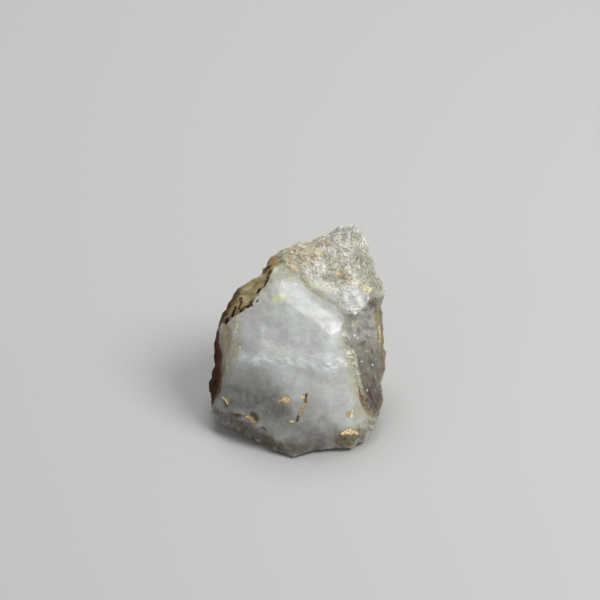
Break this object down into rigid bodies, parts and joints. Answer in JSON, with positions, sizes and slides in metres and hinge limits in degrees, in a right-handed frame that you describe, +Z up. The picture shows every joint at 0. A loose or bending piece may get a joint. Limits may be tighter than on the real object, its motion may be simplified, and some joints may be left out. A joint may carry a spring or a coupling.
{
  "type": "mineral specimen",
  "caption": "Small chunk of smoky and milky quartz with a grainy pale green prehnite crust, standing on its broken foot as a display piece.",
  "frame": {"origin": "middle of the bounding box, on the flat foot the stone stands on", "axes": "+Z up, -Y towards the milky front faces, +X towards the smoky flank"},
  "size_m": [0.0358, 0.039, 0.0345],
  "materials": {
    "quartz": "milky, glassy on the fresh faces, grainy on the crust"
  },
  "bodies": {
    "root": {"quartz_with_prehnite": "quartz"}
  },
  "joints": []
}
